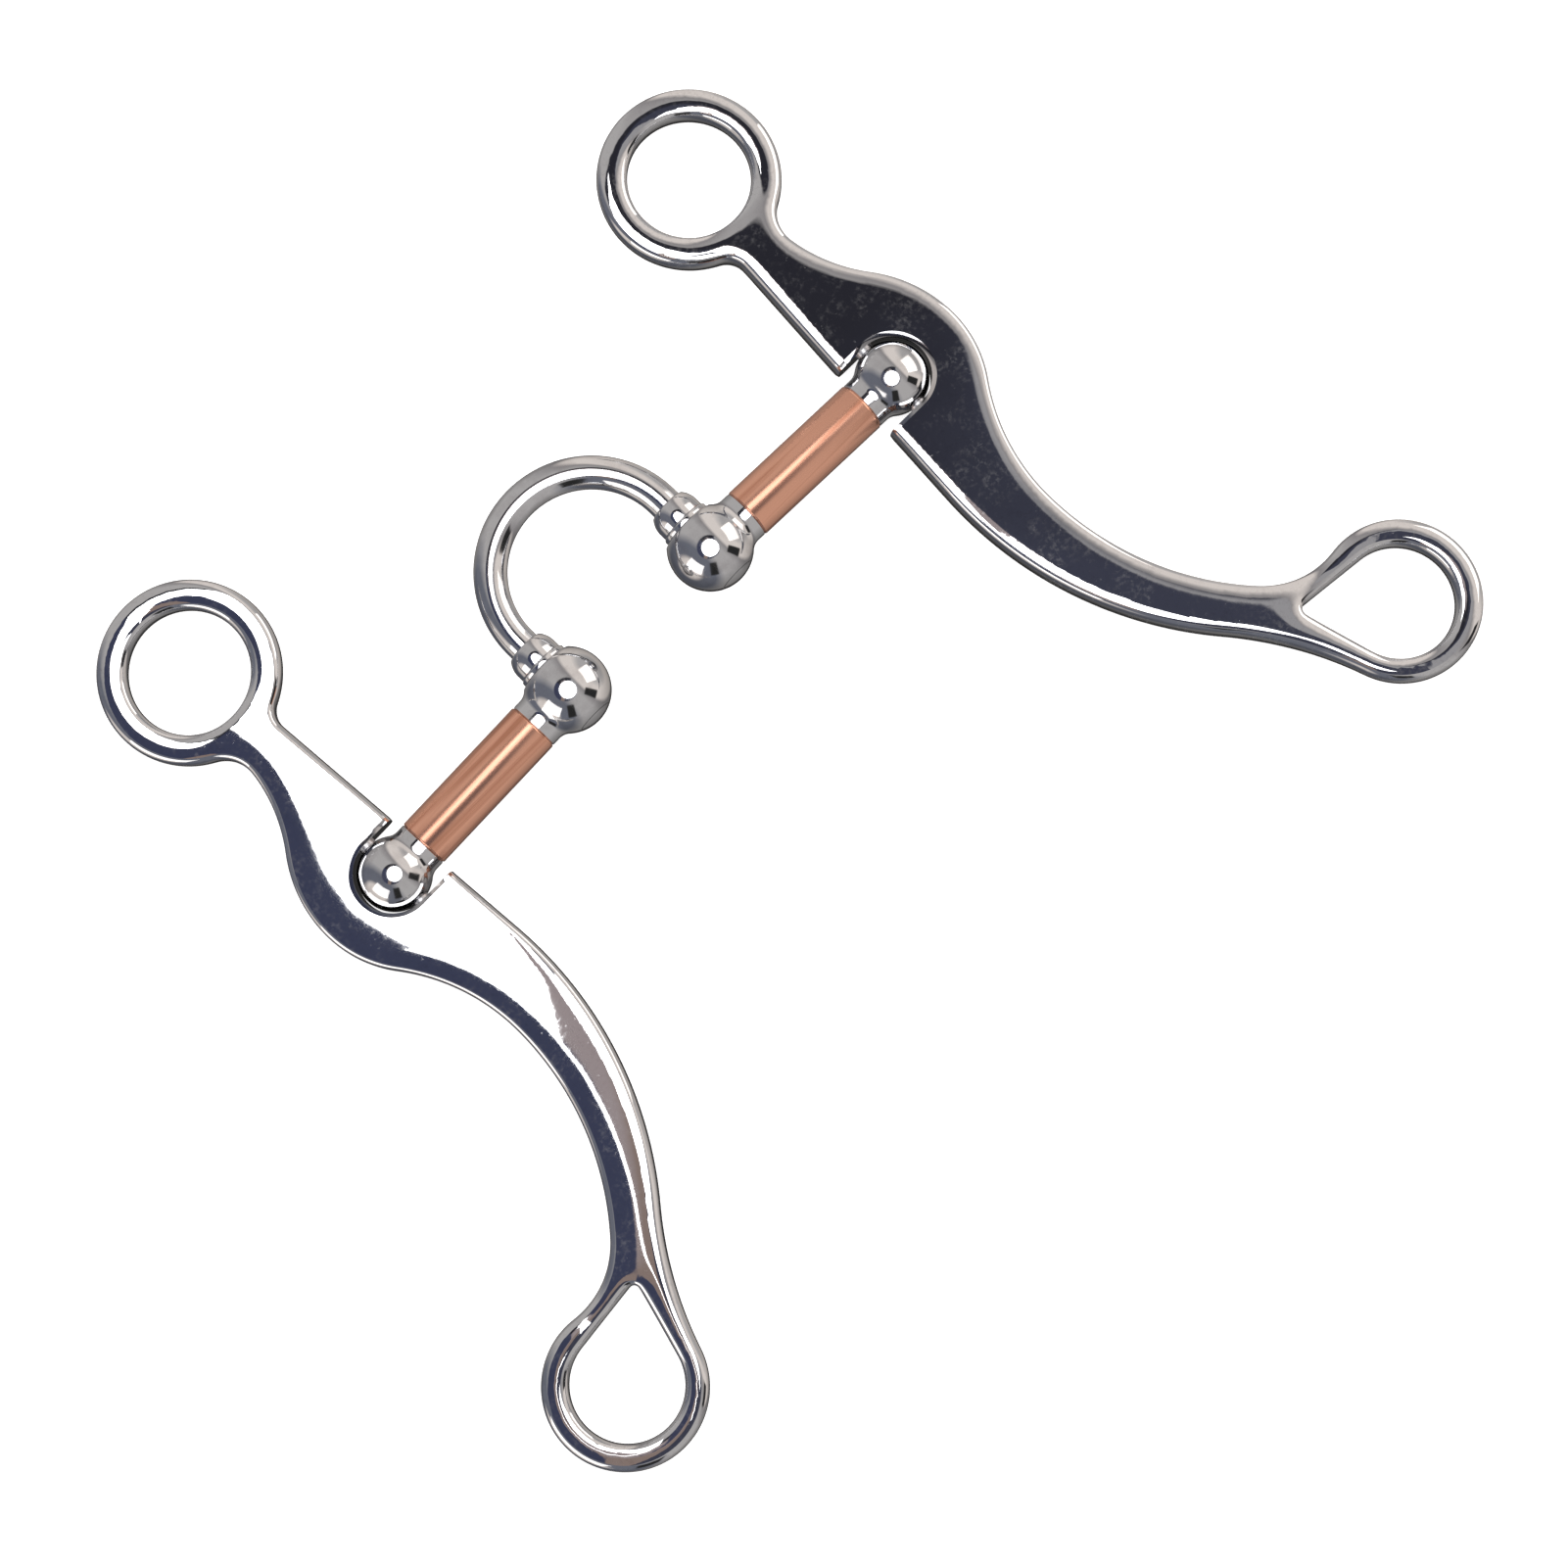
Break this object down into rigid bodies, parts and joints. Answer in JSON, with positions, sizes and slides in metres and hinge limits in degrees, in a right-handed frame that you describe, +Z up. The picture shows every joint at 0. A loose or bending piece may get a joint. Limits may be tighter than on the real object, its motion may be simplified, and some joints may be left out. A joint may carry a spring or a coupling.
{
  "type": "curb bit",
  "caption": "Curb bit with a swivelling high port between copper-sleeved cannons and loose S-shaped shanks with bridle and rein rings.",
  "frame": {"origin": "on the surface the bit lies on, under the middle of its box", "axes": "+X along the mouthpiece to the right shank, +Y up the shanks to the bridle rings, +Z up off the surface"},
  "size_m": [0.2426, 0.1892, 0.0168],
  "materials": {
    "polished_stainless": "mirror-polished stainless steel, faint hairlines",
    "copper": "polished copper with light drawing lines",
    "core_steel": "turned steel, hidden inside"
  },
  "bodies": {
    "port": {"port_bar": "polished_stainless", "left_port_collar": "polished_stainless", "left_port_washer": "polished_stainless", "right_port_collar": "polished_stainless", "right_port_washer": "polished_stainless"},
    "left_cannon": {"left_port_ball": "polished_stainless", "left_cannon_core": "core_steel", "left_copper_sleeve": "copper", "left_hinge_ball": "polished_stainless"},
    "left_cheek": {"left_shank": "polished_stainless", "left_hinge_pin": "core_steel", "left_pin_plug": "polished_stainless"},
    "right_cannon": {"right_port_ball": "polished_stainless", "right_cannon_core": "core_steel", "right_copper_sleeve": "copper", "right_hinge_ball": "polished_stainless"},
    "right_cheek": {"right_shank": "polished_stainless", "right_hinge_pin": "core_steel", "right_pin_plug": "polished_stainless"}
  },
  "joints": [
    {"name": "left_cannon_swivel", "type": "hinge", "parent": "port", "child": "left_cannon", "pos_m": [-0.0193, 0.02245, 0.0084], "axis": [0, 1, 0], "range_deg": [-45, 45]},
    {"name": "left_shank_hinge", "type": "hinge", "parent": "left_cannon", "child": "left_cheek", "pos_m": [-0.0675, 0.02105, 0.0073], "axis": [0, 1, 0], "range_deg": [-95, 95]},
    {"name": "right_cannon_swivel", "type": "hinge", "parent": "port", "child": "right_cannon", "pos_m": [0.0193, 0.02245, 0.0084], "axis": [0, -1, 0], "range_deg": [-45, 45]},
    {"name": "right_shank_hinge", "type": "hinge", "parent": "right_cannon", "child": "right_cheek", "pos_m": [0.0675, 0.02105, 0.0073], "axis": [0, -1, 0], "range_deg": [-95, 95]}
  ]
}
